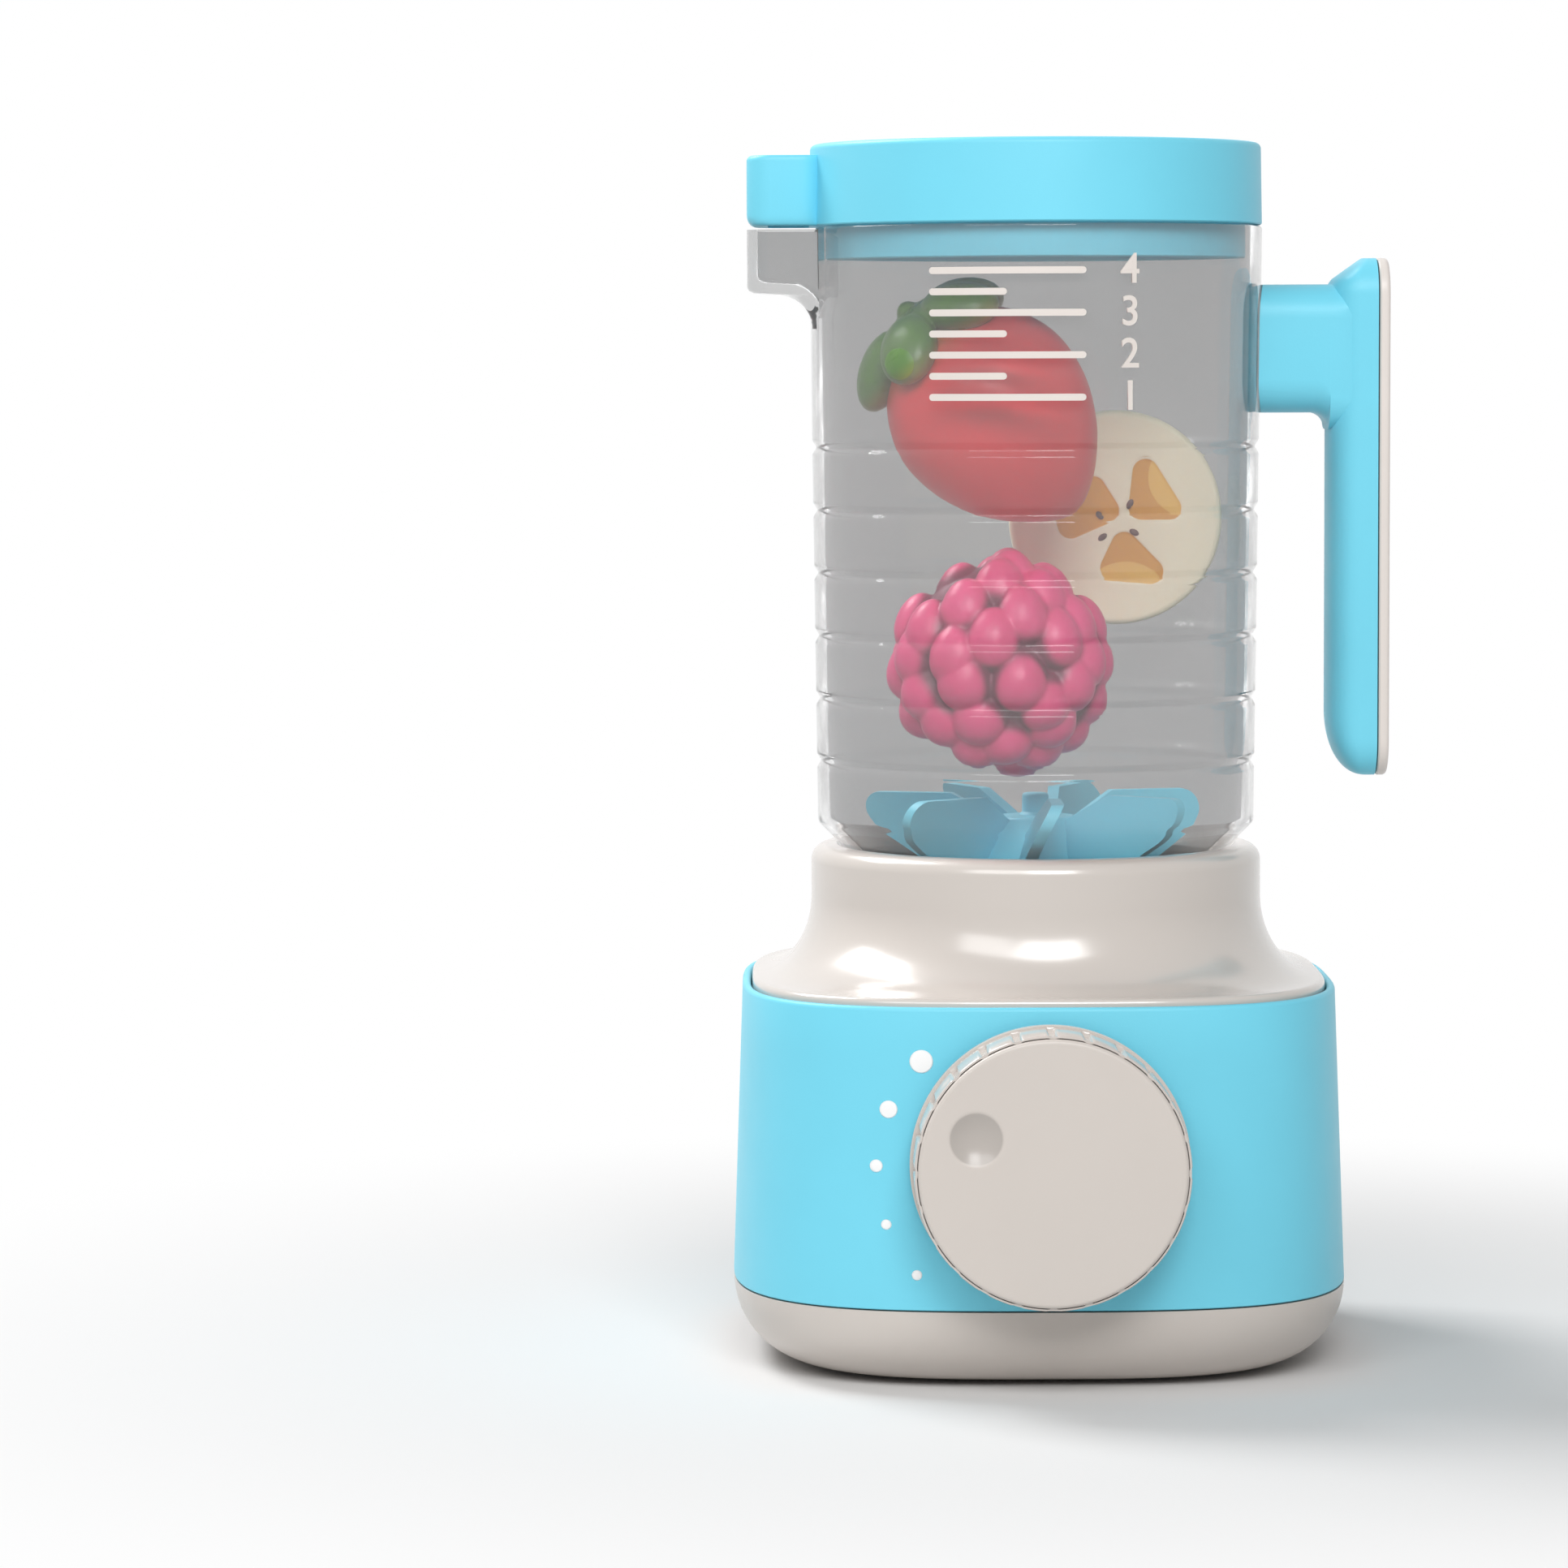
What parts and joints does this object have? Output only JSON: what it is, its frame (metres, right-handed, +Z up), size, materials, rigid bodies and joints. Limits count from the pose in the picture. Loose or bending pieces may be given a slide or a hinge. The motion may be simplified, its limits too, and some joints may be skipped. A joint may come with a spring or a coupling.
{
  "type": "toy blender",
  "caption": "Toy kitchen blender: square-round base with a notched dial, lift-off clear grooved jug with spout and side handle, bladed rotor inside, play fruit and a lift-off lid.",
  "frame": {"origin": "centre of the base's flat underside; the rubber feet stand a little proud below it", "axes": "+Z up along the jug's axis, -Y out of the front with the dial, -X towards the spout, +X towards the handle"},
  "size_m": [0.1368, 0.143, 0.2519],
  "materials": {
    "turquoise": "satin moulded, fine grain",
    "greige": "soft gloss moulded",
    "clear": "clear glossy plastic, faintly grey",
    "white": "translucent white",
    "black": "matte",
    "acetal": "natural, slightly waxy",
    "rubber": "matte",
    "steel": "bright zinc plate",
    "brass": "sintered bronze",
    "board": "solder-mask green",
    "cell": "plain printed sleeve, no marks",
    "strawberry": "glossy red",
    "leaf": "glossy green",
    "raspberry": "glossy pink",
    "banana": "satin cream"
  },
  "bodies": {
    "base": {"base_pan": "greige", "base_body": "turquoise", "base_collar": "greige", "battery_door": "greige", "battery_door_screw": "steel", "battery_box": "black", "battery_1": "cell", "battery_2": "cell", "battery_3": "cell", "battery_contact_left": "steel", "battery_contact_right": "steel", "foot_1": "rubber", "foot_2": "rubber", "foot_3": "rubber", "foot_4": "rubber", "base_screw_1": "steel", "base_screw_2": "steel", "base_screw_3": "steel", "base_screw_4": "steel", "motor": "steel", "gear_frame": "acetal", "circuit_board": "board", "rotary_switch": "black", "level_lights": "white", "lower_bearing": "brass", "upper_bearing": "brass", "board_screw_1": "steel", "board_screw_2": "steel"},
    "dial": {"dial_ring": "greige", "dial_cap": "greige", "dial_shaft": "steel"},
    "drive": {"drive_gear": "acetal", "drive_shaft": "steel", "drive_coupler": "acetal"},
    "rotor": {"motor_pinion": "brass", "motor_shaft": "steel"},
    "jug": {"jug": "clear", "jug_spout": "clear", "handle_socket": "clear", "handle": "turquoise", "handle_back": "greige", "handle_screw_1": "steel", "handle_screw_2": "steel", "blade_bearing": "brass", "strawberry": "strawberry", "strawberry_leaves": "leaf", "raspberry": "raspberry", "banana_slice": "banana"},
    "blades": {"blade_rotor": "turquoise", "blade_shaft": "steel", "blade_coupler": "acetal"},
    "lid": {"lid": "turquoise"}
  },
  "joints": [
    {"name": "jug_lift", "type": "slide", "parent": "base", "child": "jug", "axis": [0, 0, 1], "range_m": [0, 0.08]},
    {"name": "lid_lift", "type": "slide", "parent": "jug", "child": "lid", "axis": [0, 0, 1], "range_m": [0, 0.06]},
    {"name": "dial_turn", "type": "hinge", "parent": "base", "child": "dial", "pos_m": [0, -0.0639, 0.0462], "axis": [0, -1, 0], "range_deg": [-12, 66]},
    {"name": "drive_spin", "type": "hinge", "parent": "base", "child": "drive", "pos_m": [0, 0, 0.06], "axis": [0, 0, 1], "continuous": true},
    {"name": "blade_spin", "type": "hinge", "parent": "jug", "child": "blades", "pos_m": [0, 0, 0.1], "axis": [0, 0, 1], "continuous": true},
    {"name": "pinion_spin", "type": "hinge", "parent": "base", "child": "rotor", "pos_m": [0, 0.0252, 0.058], "axis": [0, 0, 1], "continuous": true}
  ],
  "couplings": [
    {"joint": "blade_spin", "follows": "drive_spin", "ratio": 1},
    {"joint": "pinion_spin", "follows": "drive_spin", "ratio": -3}
  ]
}
